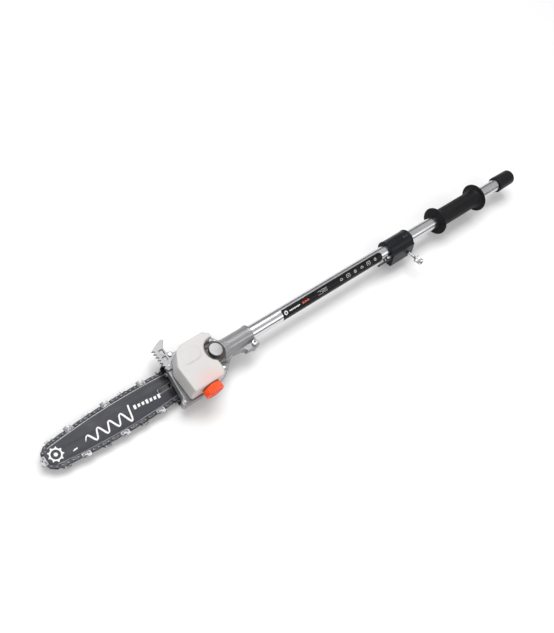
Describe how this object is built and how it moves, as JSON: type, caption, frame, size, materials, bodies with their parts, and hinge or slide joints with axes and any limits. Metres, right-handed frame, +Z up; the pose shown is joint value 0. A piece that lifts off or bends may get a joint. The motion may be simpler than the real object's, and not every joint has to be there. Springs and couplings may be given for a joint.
{
  "type": "pole saw",
  "caption": "Two-piece pole saw lying on its side: clamped tube joint, hand grip, geared head with oil tank, bumper spike, guide bar and saw chain.",
  "frame": {"origin": "centre of the rear tube's open end, where the drive unit couples", "axes": "+X along the pole from the drive end to the bar's nose, +Y towards the oil filler cap, +Z up from the chain cover to the oil tank"},
  "size_m": [1.2916, 0.1423, 0.078],
  "materials": {
    "tube_aluminium": "polished tube",
    "cast_aluminium": "cast and bead blasted",
    "black_rubber": "satin moulded rubber",
    "black_plastic": "satin moulded nylon",
    "tank_plastic": "translucent white polyethylene",
    "orange_plastic": "glossy moulded plastic",
    "seal_rubber": "matt seal",
    "chrome_steel": "bright plated",
    "zinc_steel": "zinc plated",
    "gear_steel": "machined and oiled",
    "bar_paint": "satin dark paint",
    "chain_steel": "blued chain steel",
    "cutter_chrome": "chromed cutter",
    "label_foil": "printed foil",
    "nylon": "natural nylon",
    "felt": "felt",
    "pin_steel": "blackened wire"
  },
  "bodies": {
    "rear_pole": {"rear_tube": "tube_aluminium", "grip": "black_rubber", "rear_bushes": "nylon", "coupler_body": "black_plastic", "clamp_nut": "zinc_steel", "coupler_screws": "zinc_steel", "lock_boss": "zinc_steel"},
    "end_cap": {"end_cap": "black_rubber"},
    "rear_shaft": {"rear_drive_shaft": "gear_steel", "shaft_socket": "gear_steel"},
    "clamp_washer": {"clamp_washer": "chrome_steel"},
    "clamp_screw": {"clamp_screw": "chrome_steel"},
    "lock_pin": {"lock_pin": "pin_steel"},
    "front_pole": {"front_tube": "tube_aluminium", "pole_label": "label_foil", "front_bushes": "nylon", "gear_case": "cast_aluminium", "bearing_lid": "cast_aluminium", "lid_screws": "zinc_steel", "neck_bearings": "chrome_steel", "spindle_bearings": "chrome_steel", "bar_stud": "zinc_steel", "bar_nut": "zinc_steel", "sprocket_cover": "cast_aluminium", "oil_tank": "tank_plastic", "tank_screws": "zinc_steel", "oil_pump": "black_plastic", "oil_line": "seal_rubber", "oil_filter": "felt", "bumper_spike": "cast_aluminium", "bumper_screws": "zinc_steel", "case_screws": "zinc_steel", "neck_bolt": "zinc_steel", "chain_drive_links": "chain_steel", "chain_tie_straps": "chain_steel", "chain_cutters": "cutter_chrome", "chain_rivets": "zinc_steel"},
    "front_shaft": {"front_drive_shaft": "gear_steel", "bevel_pinion": "gear_steel"},
    "spindle": {"spindle": "gear_steel", "bevel_gear": "gear_steel", "drive_sprocket": "gear_steel", "sprocket_clip": "zinc_steel"},
    "bar": {"guide_bar": "bar_paint", "nose_race": "gear_steel", "nose_rivets": "zinc_steel", "tension_block": "zinc_steel"},
    "nose_sprocket": {"nose_sprocket": "gear_steel"},
    "tension_screw": {"tension_screw": "zinc_steel"},
    "cap_seal": {"cap_gasket": "seal_rubber"},
    "oil_cap": {"oil_cap": "orange_plastic"}
  },
  "joints": [
    {"name": "pole_slide", "type": "slide", "parent": "rear_pole", "child": "front_pole", "axis": [1, 0, 0], "range_m": [0, 0.075]},
    {"name": "end_cap_pull", "type": "slide", "parent": "rear_pole", "child": "end_cap", "axis": [-1, 0, 0], "range_m": [0, 0.07]},
    {"name": "rear_shaft_spin", "type": "hinge", "parent": "rear_pole", "child": "rear_shaft", "pos_m": [0, 0, 0], "axis": [1, 0, 0], "continuous": true},
    {"name": "clamp_washer_travel", "type": "slide", "parent": "rear_pole", "child": "clamp_washer", "axis": [0, 0.9537, 0.3007], "range_m": [-0.0196, 0]},
    {"name": "clamp_screw_turn", "type": "hinge", "parent": "clamp_washer", "child": "clamp_screw", "pos_m": [0.3895, 0.00626, -0.01984], "axis": [0, 0.9537, 0.3007], "range_deg": [-5760, 1]},
    {"name": "lock_pin_push", "type": "slide", "parent": "rear_pole", "child": "lock_pin", "axis": [0, -1, 0], "range_m": [0, 0.0035]},
    {"name": "spindle_spin", "type": "hinge", "parent": "front_pole", "child": "spindle", "pos_m": [0.931, 0, 0], "axis": [0, 0, 1], "continuous": true, "deforming": ["chain_drive_links", "chain_tie_straps", "chain_cutters", "chain_rivets"]},
    {"name": "front_shaft_spin", "type": "hinge", "parent": "front_pole", "child": "front_shaft", "pos_m": [0.931, 0, 0], "axis": [1, 0, 0], "continuous": true},
    {"name": "bar_tension", "type": "slide", "parent": "front_pole", "child": "bar", "axis": [1, 0, 0], "range_m": [-0.006, 0], "deforming": ["chain_drive_links", "chain_tie_straps", "chain_cutters", "chain_rivets"]},
    {"name": "nose_sprocket_spin", "type": "hinge", "parent": "bar", "child": "nose_sprocket", "pos_m": [1.25876, 0, -0.028], "axis": [0, 0, 1], "continuous": true},
    {"name": "tension_screw_turn", "type": "hinge", "parent": "front_pole", "child": "tension_screw", "pos_m": [0.985, -0.018, -0.0195], "axis": [1, 0, 0], "range_deg": [-2701, 1]},
    {"name": "cap_travel", "type": "slide", "parent": "front_pole", "child": "cap_seal", "axis": [0, 1, 0], "range_m": [0, 0.012]},
    {"name": "oil_cap_turn", "type": "hinge", "parent": "cap_seal", "child": "oil_cap", "pos_m": [0.977, 0.051, 0.014], "axis": [0, 1, 0], "range_deg": [-1, 1081]}
  ],
  "couplings": [
    {"joint": "front_shaft_spin", "follows": "spindle_spin", "ratio": -1.25},
    {"joint": "rear_shaft_spin", "follows": "spindle_spin", "ratio": -1.25},
    {"joint": "nose_sprocket_spin", "follows": "spindle_spin", "ratio": 0.85714},
    {"joint": "clamp_screw_turn", "follows": "clamp_washer_travel", "rad_per_m": 5026.6},
    {"joint": "tension_screw_turn", "follows": "bar_tension", "rad_per_m": 7854},
    {"joint": "oil_cap_turn", "follows": "cap_travel", "rad_per_m": 1570.8}
  ]
}
